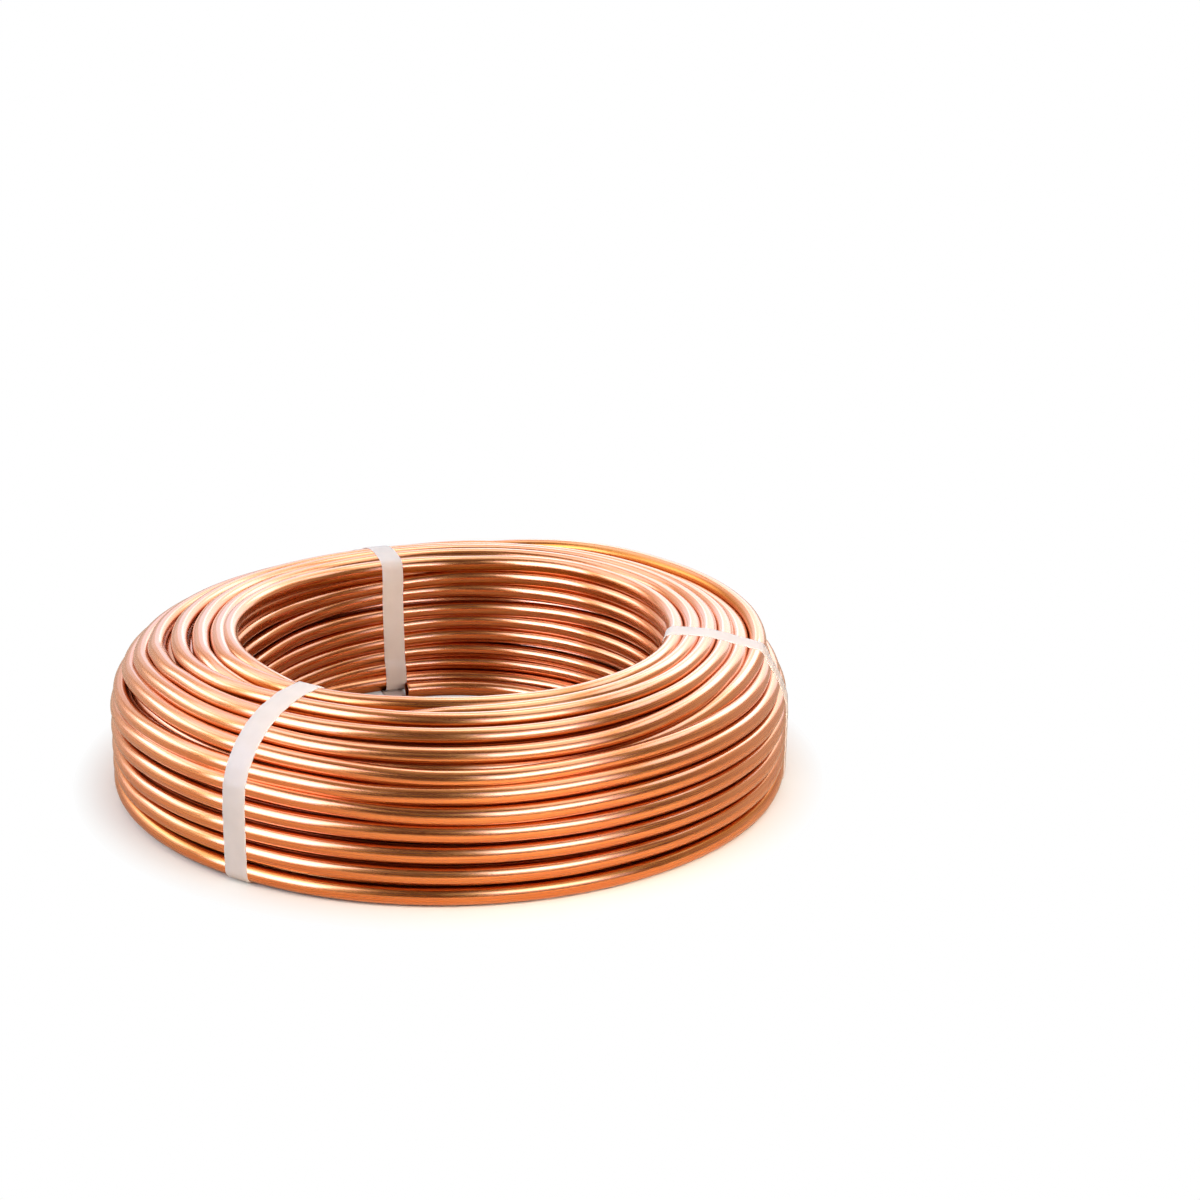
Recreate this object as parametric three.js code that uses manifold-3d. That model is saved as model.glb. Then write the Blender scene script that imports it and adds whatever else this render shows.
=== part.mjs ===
// Copper tube coil: one long soft copper tube level-wound into a ring that lies flat,
// held by three flat plastic straps. Millimetres, +Z up, origin on the floor at the ring's axis.
// Azimuths are degrees from +X towards +Y.

import * as THREE from "three";
import { mergeVertices } from "three/addons/utils/BufferGeometryUtils.js";
import Module from "manifold-3d";

// Tube
const TUBE_DIAMETER = 9.52;
const TUBE_WALL = 0.8;

// Wound ring, measured over the tube
const RING_RADIUS = 185.5;
const BORE_RADIUS = 118;
const RING_HEIGHT = 84;
const SHOULDER_RUN = 50; // radial reach of the rounded upper outer shoulder
const SHOULDER_DROP = 42; // how far down the outer wall that shoulder begins
const FOOT_RUN = 6.2; // how far the lowest turn of the bore wall lies inside the others

// Straps
const STRAP_WIDTH = 12.7;
const STRAP_THICKNESS = 0.7;
const STRAP_CLEARANCE = 0.3;
const STRAP_TAIL_LENGTH = 15; // free end of a strap, on the floor inside the bore
const STRAP_TAIL_OFFSET = 2; // how far that end is welded off the strap's centre line
const STRAP_AZIMUTHS = { strap_front_left: 240, strap_back_left: 112.5, strap_right: 352.5 };
const TAILED_STRAP = "strap_back_left";

// Last wrap of the tube: it rises out of the ring, lies on the shoulder and ends past a strap
const WRAP_RISE_AZIMUTH = 8;
const WRAP_RISE_ARC = 14; // degrees over which it comes out of the ring
const WRAP_END_AZIMUTH = 124;
const WRAP_DRIFT_START_AZIMUTH = 40;
const WRAP_DRIFT_END_AZIMUTH = 130;
const WRAP_DRIFT_TURNS = 2; // turns that it moves down the shoulder on its way
const WRAP_SEAT_DEPTH = 0.7; // how far it beds into the turns that it lies on

// First end of the tube: it leaves the foot of the bore wall and lies on the floor beside it
const INNER_END_RISE_AZIMUTH = 20;
const INNER_END_RISE_ARC = 30; // degrees over which it comes out of the ring
const INNER_END_AZIMUTH = 108;
const INNER_END_GAP = 0.6; // between it and the turn that it lies beside

const END_BORE_DEPTH = 28; // depth of the open bore at each cut end

// Facets
const RING_FACETS = 48;
const TURN_ARC_STEP = THREE.MathUtils.degToRad(40);
const TURN_EXPOSED_HALF = THREE.MathUtils.degToRad(80);
const TUBE_SIDES = 12;
const SWEEP_STEP_DEGREES = 5;
const STRAP_CORNER_SIDES = 24;
const MERGE_TOLERANCE = 1e-3;

const COPPER = { color: 0xc8744a, roughness: 0.28, metalness: 1 };
const STRAP_PLASTIC = { color: 0xe8e1dc, roughness: 0.5, metalness: 0 };

const wasm = await Module();
wasm.setup();

const tubeRadius = TUBE_DIAMETER / 2;
const point = (r, z) => new THREE.Vector2(r, z);

/** Turns a closed three.js geometry into a solid that can be joined and cut. */
function toSolid(geometry) {
  const bare = geometry.clone();
  bare.deleteAttribute("normal");
  bare.deleteAttribute("uv");
  const merged = mergeVertices(bare, MERGE_TOLERANCE);
  return new wasm.Manifold(
    new wasm.Mesh({
      numProp: 3,
      vertProperties: merged.attributes.position.array,
      triVerts: merged.index.array,
    }),
  );
}

/** Turns a solid back into a three.js geometry. */
function toGeometry(solid) {
  const mesh = solid.getMesh();
  const geometry = new THREE.BufferGeometry();
  geometry.setAttribute("position", new THREE.BufferAttribute(mesh.vertProperties, 3));
  geometry.setIndex(new THREE.BufferAttribute(mesh.triVerts, 1));
  geometry.computeVertexNormals();
  return geometry;
}

/** One row of turns side by side: the line that their centres lie on, and how many fill it. */
class TurnRow {
  constructor(...curves) {
    this.path = new THREE.CurvePath();
    curves.forEach((curve) => this.path.add(curve));
    this.gaps = Math.floor(this.path.getLength() / TUBE_DIAMETER);
    this.pitch = this.path.getLength() / this.gaps;
  }

  centres() {
    return this.path.getSpacedPoints(this.gaps);
  }

  /** Centre of a tube that lies on this row, `place` turns along it, raised by a share of its lift. */
  riding(place, share) {
    const t = THREE.MathUtils.clamp(place / this.gaps, 0, 1);
    const offCentre = (place - Math.round(place)) * this.pitch;
    const lift = share * (Math.sqrt(TUBE_DIAMETER ** 2 - offCentre ** 2) - WRAP_SEAT_DEPTH);
    const tangent = this.path.getTangentAt(t);
    const outward = point(tangent.y, -tangent.x).multiplyScalar(lift);
    return this.path.getPointAt(t).clone().add(outward);
  }
}

const innerLine = BORE_RADIUS + tubeRadius;
const outerLine = RING_RADIUS - tubeRadius;
const topLine = RING_HEIGHT - tubeRadius;
const shoulderFoot = RING_HEIGHT - SHOULDER_DROP;

// The shoulder rounds no more than the ring's width, and leaves one turn flat beside the bore
const shoulderReach = Math.min(SHOULDER_RUN, RING_RADIUS - BORE_RADIUS - TUBE_DIAMETER);
const shoulderHead = RING_RADIUS - shoulderReach;

const outerWall = new THREE.LineCurve(point(outerLine, tubeRadius), point(outerLine, shoulderFoot));
const shoulder = new THREE.EllipseCurve(
  shoulderHead,
  shoulderFoot,
  shoulderReach - tubeRadius,
  SHOULDER_DROP - tubeRadius,
  0,
  Math.PI / 2,
);
const topFace = new THREE.LineCurve(point(shoulderHead, topLine), point(innerLine, topLine));

// The lowest turn of the bore wall, and the turn that lies against it and above it
const footTurn = point(innerLine - FOOT_RUN, tubeRadius);
const turnOverFoot = point(innerLine, tubeRadius + Math.sqrt(TUBE_DIAMETER ** 2 - FOOT_RUN ** 2));

const outerRow = new TurnRow(outerWall, shoulder, topFace);
const boreRow = new TurnRow(
  new THREE.LineCurve(point(innerLine, topLine), turnOverFoot),
  new THREE.LineCurve(turnOverFoot, footTurn),
);
const floorRow = new TurnRow(new THREE.LineCurve(footTurn, point(outerLine, tubeRadius)));

/** Centres of all the turns that show, counter-clockwise round the ring's section. */
const turnCentres = [outerRow, boreRow, floorRow].flatMap((row) => row.centres().slice(0, -1));

/** An angle as it lies within half a turn of 0. */
function signedAngle(angle) {
  return THREE.MathUtils.euclideanModulo(angle + Math.PI, 2 * Math.PI) - Math.PI;
}

/** Outline of the section: an arc over each turn, with a groove between each two. */
function scallopedOutline(centres) {
  const count = centres.length;
  const normals = centres.map((centre, i) => {
    const along = centres[(i + 1) % count].clone().sub(centre);
    return Math.atan2(-along.x, along.y);
  });
  const arcs = centres.map((centre, i) => {
    const before = normals[(i + count - 1) % count];
    const turned = signedAngle(normals[i] - before);
    const start = before - TURN_EXPOSED_HALF;
    const sweep = turned + 2 * TURN_EXPOSED_HALF;
    const steps = Math.round(sweep / TURN_ARC_STEP);
    return Array.from({ length: steps + 1 }, (_, k) => {
      const angle = start + (sweep * k) / steps;
      return centre.clone().add(point(Math.cos(angle), Math.sin(angle)).multiplyScalar(tubeRadius));
    });
  });
  return arcs.flatMap((arc, i) => {
    const groove = arc.at(-1).clone().lerp(arcs[(i + 1) % count][0], 0.5);
    return [...arc.slice(1, -1), groove];
  });
}

/** Turns an outline about +Z. The middle of each facet, not its edges, lies on the true circle. */
function turnedSolid(outline) {
  const spread = 1 / Math.cos(Math.PI / RING_FACETS);
  const profile = outline.map((p) => point(p.x * spread, p.y));
  const closed = [...profile, profile[0]];
  const lathe = new THREE.LatheGeometry(closed, RING_FACETS, Math.PI / RING_FACETS);
  lathe.rotateX(Math.PI / 2);
  return toSolid(lathe);
}

/** Path of a tube end. `sectionPoint(azimuth)` gives the radius and height of its centre. */
class EndPath extends THREE.Curve {
  constructor(fromAzimuth, toAzimuth, sectionPoint) {
    super();
    this.fromAzimuth = fromAzimuth;
    this.toAzimuth = toAzimuth;
    this.sectionPoint = sectionPoint;
  }

  get steps() {
    return Math.ceil(Math.abs(this.toAzimuth - this.fromAzimuth) / SWEEP_STEP_DEGREES);
  }

  getPoint(t, target = new THREE.Vector3()) {
    const azimuth = THREE.MathUtils.lerp(this.fromAzimuth, this.toAzimuth, t);
    const { x: r, y: z } = this.sectionPoint(azimuth);
    const angle = THREE.MathUtils.degToRad(azimuth);
    return target.set(r * Math.cos(angle), r * Math.sin(angle), z);
  }
}

/** A round bar along a path. */
function sweep(path, radius) {
  const section = new THREE.Shape().absarc(0, 0, radius, 0, 2 * Math.PI);
  const options = { steps: path.steps, curveSegments: TUBE_SIDES / 2, extrudePath: path };
  return toSolid(new THREE.ExtrudeGeometry(section, options));
}

/** A tube end that comes out of the ring at one azimuth and is cut off square, open, at another. */
function tubeEnd(riseAzimuth, endAzimuth, sectionPoint) {
  const bar = sweep(new EndPath(riseAzimuth, endAzimuth, sectionPoint), tubeRadius);
  const arcPerMillimetre = Math.sign(endAzimuth - riseAzimuth) / sectionPoint(endAzimuth).x;
  const toArc = (length) => THREE.MathUtils.radToDeg(length * arcPerMillimetre);
  const borePath = new EndPath(
    endAzimuth - toArc(END_BORE_DEPTH),
    endAzimuth + toArc(TUBE_WALL),
    sectionPoint,
  );
  return { bar, bore: sweep(borePath, tubeRadius - TUBE_WALL) };
}

/** How far a tube end has come out of the ring at an azimuth, from 0 to 1, over an arc. */
function risen(azimuth, riseAzimuth, riseArc) {
  return THREE.MathUtils.smoothstep(azimuth, riseAzimuth, riseAzimuth + riseArc);
}

const shoulderMiddle = (outerWall.getLength() + shoulder.getLength() / 2) / outerRow.pitch;
const wrapGroove = Math.round(shoulderMiddle) - 0.5;

/** Where the last wrap's centre lies: in a groove of the shoulder, drifting down it turn by turn. */
function wrapCentre(azimuth) {
  const span = WRAP_DRIFT_END_AZIMUTH - WRAP_DRIFT_START_AZIMUTH;
  const drift = THREE.MathUtils.clamp((azimuth - WRAP_DRIFT_START_AZIMUTH) / span, 0, 1);
  const place = wrapGroove + WRAP_DRIFT_TURNS * (0.5 - drift);
  return outerRow.riding(place, risen(azimuth, WRAP_RISE_AZIMUTH, WRAP_RISE_ARC));
}

const innerEndRoot = footTurn.clone().add(point(TUBE_DIAMETER, tubeRadius));
const innerEndRest = point(footTurn.x - TUBE_DIAMETER - INNER_END_GAP, tubeRadius);

/** Where the first end's centre lies: from inside the foot of the ring to the floor of the bore. */
function innerEndCentre(azimuth) {
  const share = risen(azimuth, INNER_END_RISE_AZIMUTH, INNER_END_RISE_ARC);
  return innerEndRoot.clone().lerp(innerEndRest, share);
}

/** The wound tube: the turned ring with both open ends of the tube. */
function tubeCoil() {
  const wrap = tubeEnd(WRAP_RISE_AZIMUTH, WRAP_END_AZIMUTH, wrapCentre);
  const innerEnd = tubeEnd(INNER_END_RISE_AZIMUTH, INNER_END_AZIMUTH, innerEndCentre);
  const ring = turnedSolid(scallopedOutline(turnCentres));
  return ring.add(wrap.bar).add(innerEnd.bar).subtract(wrap.bore).subtract(innerEnd.bore);
}

/** Convex outline round points, counter-clockwise: the line that a taut strap takes. */
function tautLine(points) {
  const sorted = [...points].sort((a, b) => a.x - b.x || a.y - b.y);
  const chain = (list) => {
    const kept = [];
    for (const p of list) {
      while (kept.length > 1 && turnsClockwise(kept.at(-2), kept.at(-1), p)) kept.pop();
      kept.push(p);
    }
    return kept.slice(0, -1);
  };
  return [...chain(sorted), ...chain(sorted.reverse())];
}

/** True where a, b, c go straight on or turn clockwise. */
function turnsClockwise(a, b, c) {
  return b.clone().sub(a).cross(c.clone().sub(a)) <= MERGE_TOLERANCE;
}

/** Centres of the last wrap where it passes under a strap, at the strap's two edges. */
function wrapUnderStrap(azimuth) {
  const halfArc = THREE.MathUtils.radToDeg(STRAP_WIDTH / 2 / RING_RADIUS);
  const edges = [azimuth - halfArc, azimuth + halfArc];
  return edges.filter((edge) => edge > WRAP_RISE_AZIMUTH && edge < WRAP_END_AZIMUTH).map(wrapCentre);
}

/** The taut line that lies `offset` off the tube round the ring's section at one azimuth. */
function strapLine(azimuth, offset) {
  const centres = [...turnCentres, ...wrapUnderStrap(azimuth)];
  const reach = tubeRadius + offset;
  const circle = Array.from({ length: STRAP_CORNER_SIDES }, (_, k) => {
    const angle = (2 * Math.PI * k) / STRAP_CORNER_SIDES;
    return point(Math.cos(angle), Math.sin(angle)).multiplyScalar(reach);
  });
  return tautLine(centres.flatMap((centre) => circle.map((p) => p.clone().add(centre))));
}

/** One strap, in the plane of its azimuth: X outwards, Z up, its width along Y. */
function strap(azimuth, hasTail) {
  const band = new THREE.Shape(strapLine(azimuth, STRAP_CLEARANCE + STRAP_THICKNESS));
  band.holes.push(new THREE.Path(strapLine(azimuth, STRAP_CLEARANCE)));
  const options = { depth: STRAP_WIDTH, bevelEnabled: false };
  const bandGeometry = new THREE.ExtrudeGeometry(band, options);
  bandGeometry.translate(0, 0, -STRAP_WIDTH / 2);
  bandGeometry.rotateX(Math.PI / 2);
  const loop = toSolid(bandGeometry);
  if (!hasTail) return loop;
  const length = STRAP_TAIL_LENGTH + TUBE_DIAMETER;
  const tail = new THREE.BoxGeometry(length, STRAP_WIDTH, STRAP_THICKNESS);
  tail.translate(
    BORE_RADIUS - STRAP_TAIL_LENGTH + length / 2,
    STRAP_TAIL_OFFSET,
    -STRAP_CLEARANCE - STRAP_THICKNESS / 2,
  );
  return loop.add(toSolid(tail));
}

/** A named mesh of one solid. */
function namedMesh(name, solid, finish) {
  const mesh = new THREE.Mesh(toGeometry(solid), new THREE.MeshStandardMaterial(finish));
  mesh.name = name;
  return mesh;
}

const coil = new THREE.Group();
coil.position.z = STRAP_CLEARANCE + STRAP_THICKNESS; // the ring stands on the straps under it
coil.add(namedMesh("tube_coil", tubeCoil(), COPPER));
for (const [name, azimuth] of Object.entries(STRAP_AZIMUTHS)) {
  const mesh = namedMesh(name, strap(azimuth, name === TAILED_STRAP), STRAP_PLASTIC);
  mesh.rotation.z = THREE.MathUtils.degToRad(azimuth);
  coil.add(mesh);
}

export default coil;
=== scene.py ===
"""Copper tube coil: soft copper tube wound into a flat ring and held by three plastic straps.

Metres, +Z up, origin on the floor at the ring's axis. An azimuth is in degrees from +X towards
+Y. A place is a length along the centre line of the ring's section, in tube diameters: from the
foot of the outer wall up the wall, over the shoulder and the top, down the bore wall and back
along the underside. A depth is in tube diameters too, inwards from that line.
"""

import logging
import math
from collections.abc import Iterable
from dataclasses import dataclass, field
from enum import Enum
from functools import cached_property
from itertools import product

import bpy
import numpy as np
from mathutils import Matrix, Vector

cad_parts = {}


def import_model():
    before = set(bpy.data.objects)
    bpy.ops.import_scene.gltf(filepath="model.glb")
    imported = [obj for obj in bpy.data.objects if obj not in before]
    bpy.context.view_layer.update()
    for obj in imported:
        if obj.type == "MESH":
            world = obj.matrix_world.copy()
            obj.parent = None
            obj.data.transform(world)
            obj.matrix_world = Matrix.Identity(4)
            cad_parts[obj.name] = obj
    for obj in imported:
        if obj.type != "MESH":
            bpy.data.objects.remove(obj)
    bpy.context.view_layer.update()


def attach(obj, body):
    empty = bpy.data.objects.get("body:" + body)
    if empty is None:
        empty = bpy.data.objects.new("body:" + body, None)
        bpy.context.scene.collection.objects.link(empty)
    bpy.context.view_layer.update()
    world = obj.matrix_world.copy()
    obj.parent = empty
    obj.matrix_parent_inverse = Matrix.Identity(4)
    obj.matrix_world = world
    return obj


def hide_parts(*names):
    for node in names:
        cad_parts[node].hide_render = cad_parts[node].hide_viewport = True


logging.basicConfig(level=logging.INFO, format="%(message)s")
LOG = logging.getLogger("coil")

Array = np.ndarray
Object = bpy.types.Object
Socket = bpy.types.NodeSocket
Span = tuple[float, float]
Keys = tuple[Span, ...]
Colour = tuple[float, float, float]
Point = tuple[float, float, float]
Inputs = dict[str | int, object]

BODY = "root"
FULL_TURN = 360.0
SHARP_ANGLE = 50.0  # degrees between two faces, past which their edge is drawn sharp
NOISE_REACH = (0.3, 0.7)  # where most values of a noise texture lie
WHITE = (1.0, 1.0, 1.0)
RANGE_SOCKETS = ("From Min", "From Max", "To Min", "To Max")


class Slot(Enum):
    """Material slots of the record."""

    COPPER = "copper"
    STRAP = "strap_plastic"


# --- Curves and meshes ---


def keyed(keys: Keys, at: Array) -> Array:
    """Smooth curve through keys: a cubic Hermite curve whose slopes never overshoot.

    The slope at a key is the harmonic mean of the slopes on its two sides, and 0 where they
    differ in sign, so that the curve stays between its keys.

    Args:
        keys: Pairs of position and value, in rising order of position.
        at: Positions to evaluate, in an array of any shape.

    Returns:
        The curve's values, one for each position.
    """
    x, y = np.array(keys, dtype=float).T
    step = np.diff(x)
    rise = np.diff(y) / step
    before, after = np.r_[0.0, rise], np.r_[rise, 0.0]
    same = before * after > 0
    slope = np.where(same, 2 * before * after / np.where(same, before + after, 1.0), 0.0)
    i = np.clip(np.searchsorted(x, at, side="right") - 1, 0, len(step) - 1)
    t = np.clip((at - x[i]) / step[i], 0.0, 1.0)
    h = step[i]
    return (
        (1 + 2 * t) * (1 - t) ** 2 * y[i]
        + t * (1 - t) ** 2 * h * slope[i]
        + t**2 * (3 - 2 * t) * y[i + 1]
        + t**2 * (t - 1) * h * slope[i + 1]
    )


def unit(vectors: Array) -> Array:
    """Vectors scaled to length 1."""
    return vectors / np.linalg.norm(vectors, axis=-1, keepdims=True)


def ring_points(azimuth: Array, radius: Array, height: Array) -> Array:
    """Points (r cos a, r sin a, z) from azimuths in degrees, radii and heights."""
    angle = np.radians(azimuth)
    return np.stack((radius * np.cos(angle), radius * np.sin(angle), height), axis=-1)


def grid_mesh(
    name: str, points: Array, along: Array, around: Array, rows_close: bool = False
) -> Object:
    """Object of a grid of points whose columns close round a path.

    Args:
        name: Name of the object.
        points: Points (rows, columns, 3), rows along the path and columns round it.
        along: Distance along the path of each row, and of the closing one where the rows
            close, for the map's u.
        around: Distance round the section of each column and of the closing one, for v.
        rows_close: Whether the last row joins the first. Otherwise both ends get a flat cap.

    Returns:
        The new object, at the origin.
    """
    rows, columns = points.shape[:2]
    spans = rows if rows_close else rows - 1
    row, column = np.meshgrid(np.arange(spans), np.arange(columns), indexing="ij")
    next_row, next_column = (row + 1) % rows, (column + 1) % columns
    corners = ((row, column), (row, next_column), (next_row, next_column), (next_row, column))
    quads = np.stack([r * columns + c for r, c in corners], axis=-1).reshape(-1, 4)
    u = np.stack([along[row], along[row], along[row + 1], along[row + 1]], axis=-1)
    v = np.stack([around[column], around[column + 1], around[column + 1], around[column]], -1)
    faces = quads.tolist()
    uv = np.stack((u, v), axis=-1).reshape(-1, 2)
    if not rows_close:
        first, last = np.arange(columns)[::-1], (rows - 1) * columns + np.arange(columns)
        faces += [first.tolist(), last.tolist()]
        uv = np.concatenate((uv, np.zeros((2 * columns, 2))))
    mesh = bpy.data.meshes.new(name)
    mesh.from_pydata(points.reshape(-1, 3).tolist(), [], faces)
    layer = mesh.uv_layers.new(name="UVMap")
    layer.data.foreach_set("uv", uv.ravel())
    mesh.polygons.foreach_set("use_smooth", np.ones(len(mesh.polygons), dtype=bool))
    mesh.set_sharp_from_angle(angle=math.radians(SHARP_ANGLE))
    mesh.update()
    return linked(name, mesh)


def linked(name: str, data: bpy.types.ID) -> Object:
    """Object of a mesh, a lamp or a camera, put into the scene."""
    bpy.context.scene.collection.objects.link(made := bpy.data.objects.new(name, data))
    return made


def arc_lengths(path: Array) -> Array:
    """Distance along a path of points (n, 2) or (n, 3), from its first point."""
    return np.r_[0.0, np.cumsum(np.linalg.norm(np.diff(path, axis=0), axis=1))]


def resampled(values: Array, length: Array, at: Array) -> Array:
    """Rows of values, known at lengths along a path, read off at other lengths."""
    return np.stack([np.interp(at, length, column) for column in values.T], axis=-1)


def tube_mesh(
    name: str, centre: Array, tangent: Array, outward: Array, radius: Array, sides: int
) -> Object:
    """Object of circles round a path: C + radius (N cos t + B sin t), with B = T x N.

    Column 0 lies at the back of the tube, t = 180 degrees, so the map's seam is out of sight.

    Args:
        name: Name of the object.
        centre: Centres C (n, 3).
        tangent: Directions of the path (n, 3), scaled to give T.
        outward: Rough outward directions (n, 3), made square to the path to give N.
        radius: Radius of each circle.
        sides: Points of each circle.

    Returns:
        The new object, with a map in metres.
    """
    ahead = unit(tangent)
    normal = unit(outward - (outward * ahead).sum(1, keepdims=True) * ahead)
    side = np.cross(ahead, normal)
    turn = np.pi + 2 * np.pi * np.arange(sides) / sides
    spoke = np.cos(turn)[:, None] * normal[:, None] + np.sin(turn)[:, None] * side[:, None]
    points = centre[:, None] + radius[:, None, None] * spoke
    around = np.linspace(0, 2 * np.pi * radius.max(), sides + 1)
    return grid_mesh(name, points, arc_lengths(centre), around)


# --- Finishes ---


class NodeTree:
    """Short ways to add and join the nodes of one material or world."""

    def __init__(self, owner: bpy.types.Material | bpy.types.World) -> None:
        """Clears the owner's nodes.

        Args:
            owner: The material or world that the nodes belong to.
        """
        owner.use_nodes = True
        self.tree = owner.node_tree
        self.tree.nodes.clear()

    def add(self, kind: str, inputs: Inputs | None = None, **settings: object) -> bpy.types.Node:
        """Adds a node.

        Args:
            kind: Blender's name of the node type.
            inputs: Socket name or number, to a value or to the output socket that feeds it.
            settings: Properties of the node.

        Returns:
            The node.
        """
        node = self.tree.nodes.new(kind)
        for key, value in settings.items():
            setattr(node, key, value)
        for key, value in (inputs or {}).items():
            if isinstance(value, Socket):
                self.tree.links.new(value, node.inputs[key])
            else:
                node.inputs[key].default_value = value
        return node

    def ramp(self, factor: Socket, *stops: tuple[float, Colour]) -> Socket:
        """Adds a colour ramp.

        Args:
            factor: Value from 0 to 1 that picks the colour.
            stops: Positions and their colours, in rising order.

        Returns:
            The colour.
        """
        node = self.add("ShaderNodeValToRGB", {"Fac": factor})
        elements = node.color_ramp.elements
        while len(elements) < len(stops):
            elements.new(0.5)
        for element, (position, colour) in zip(elements, stops, strict=True):
            element.position = position
            element.color = (*colour, 1.0)
        return node.outputs["Color"]

    def mapped_range(self, value: Socket, source: Span, target: Span) -> Socket:
        """Value carried from one range to another, clamped."""
        limits = dict(zip(RANGE_SOCKETS, (*source, *target), strict=True))
        return self.add("ShaderNodeMapRange", {"Value": value, **limits}).outputs["Result"]

    def calc(self, operation: str, *values: Socket | float) -> Socket:
        """One step of arithmetic on values."""
        return self.add("ShaderNodeMath", dict(enumerate(values)), operation=operation).outputs[0]

    def tinted(self, colour: Socket, tint: Socket) -> Socket:
        """Product of two colours, channel by channel."""
        inputs = {0: colour, 1: tint}
        return self.add("ShaderNodeVectorMath", inputs, operation="MULTIPLY").outputs[0]

    def noise(self, at: Socket, scale: float, **inputs: float) -> Socket:
        """Noise texture at points, with its own inputs."""
        return self.add("ShaderNodeTexNoise", {"Vector": at, "Scale": scale, **inputs}).outputs[0]

    def streaks(self, at: Socket, length: float, width: float, **inputs: float) -> Socket:
        """Noise drawn out along a piece, into streaks of a length and a width, by its map."""
        drawn = self.add("ShaderNodeMapping", {"Vector": at, "Scale": (1 / length, 1 / width, 1)})
        return self.noise(drawn.outputs[0], 1.0, **inputs)

    def bump(self, height: Socket, strength: float, distance: float) -> Socket:
        """Normal bumped by a height."""
        inputs = {"Height": height, "Strength": strength, "Distance": distance}
        return self.add("ShaderNodeBump", inputs).outputs[0]

    def mixed(self, share: Socket, one: bpy.types.Node, other: bpy.types.Node) -> Socket:
        """Mix of two shaders, by the share of the other one."""
        inputs = {0: share, 1: one.outputs[0], 2: other.outputs[0]}
        return self.add("ShaderNodeMixShader", inputs).outputs[0]

    def surface(self, shader: Socket) -> None:
        """Joins a shader to the material's output."""
        self.add("ShaderNodeOutputMaterial", {"Surface": shader})


@dataclass(frozen=True)
class CopperFinish:
    """Bright drawn copper: fine streaks along the tube and a soft change of tone.

    A thin clear skin lies on the open side of the tube, and painted shade darkens the groove's
    sides, as groove_painted_shade. A mirror image of copper in copper is recoloured too: painted
    shade beside, as crevice_painted_shade, and a paler painted reflection far off, as
    far_painted_reflection.
    """

    name: str
    pale: Colour = (0.93, 0.305, 0.06)
    deep: Colour = (0.88, 0.235, 0.035)
    tone_reach: Span = (0.15, 0.36)
    tone_size: float = 0.05
    roughness: Span = (0.22, 0.32)
    skin_roughness: float = 0.16
    skin_ior: float = 1.8
    streak_length: float = 0.045
    streak_width: float = 0.0009
    streak_depth: float = 0.00002
    streak_bump: float = 0.5
    groove_angles: Span = (52.0, 88.0)
    # painted shade on the groove's sides, where the turns beside shade the tube
    groove_painted_shade: Colour = (0.76, 0.76, 0.72)
    # painted shade on copper mirrored close by, in a crevice, and a paler painted reflection colour
    # on copper mirrored from further off
    crevice_reach: Span = (0.006, 0.06)
    crevice_painted_shade: Colour = (0.8, 0.88, 0.9)
    far_painted_reflection: Colour = (0.85, 1.08, 1.3)
    tube_radius: float = 0.00476

    def material(self) -> bpy.types.Material:
        """Builds the material.

        Returns:
            The material. Its colour goes from deep to pale by streak times tone, and is then
            multiplied by the painted shade of the groove and by the painted shade and painted
            reflection colour of mirror images.
        """
        made = bpy.data.materials.new(self.name)
        nodes = NodeTree(made)
        place = nodes.add("ShaderNodeTexCoord").outputs
        streak = nodes.streaks(
            place["UV"], self.streak_length, self.streak_width, Detail=3.0, Roughness=0.6
        )
        tone = nodes.noise(place["Object"], 1 / self.tone_size, Detail=3.0)
        low, high = self.tone_reach
        mixed = nodes.calc("MULTIPLY", streak, tone)
        colour = nodes.ramp(mixed, (low, self.deep), (high, self.pale))
        round_tube = nodes.add("ShaderNodeSeparateXYZ", {"Vector": place["UV"]}).outputs["Y"]
        off_face = nodes.calc("SUBTRACT", round_tube, math.pi * self.tube_radius)
        near, far = (math.radians(angle) * self.tube_radius for angle in self.groove_angles)
        open_share = nodes.mapped_range(nodes.calc("ABSOLUTE", off_face), (near, far), (1.0, 0.0))
        # Painted shade: the groove's sides are darkened where the turns beside shade them.
        groove = nodes.ramp(open_share, (0.0, self.groove_painted_shade), (1.0, WHITE))
        # Painted shade and painted reflection: copper seen mirrored in copper is darkened close by
        # and made paler far off.
        path = nodes.add("ShaderNodeLightPath").outputs
        beside = 0.5  # on the ramp of mirror images, from none at 0 to a far one at 1
        distance = nodes.mapped_range(path["Ray Length"], self.crevice_reach, (beside, 1.0))
        mirrored = nodes.ramp(
            nodes.calc("MULTIPLY", path["Is Glossy Ray"], distance),
            (0.0, WHITE),
            (beside, self.crevice_painted_shade),
            (1.0, self.far_painted_reflection),
        )
        shader = nodes.add(
            "ShaderNodeBsdfPrincipled",
            {
                "Base Color": nodes.tinted(nodes.tinted(colour, groove), mirrored),
                "Roughness": nodes.mapped_range(streak, NOISE_REACH, self.roughness),
                "Metallic": 1.0,
                "Coat Weight": open_share,
                "Coat Roughness": self.skin_roughness,
                "Coat IOR": self.skin_ior,
                "Normal": nodes.bump(streak, self.streak_bump, self.streak_depth),
            },
        )
        nodes.surface(shader.outputs[0])
        return made


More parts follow.
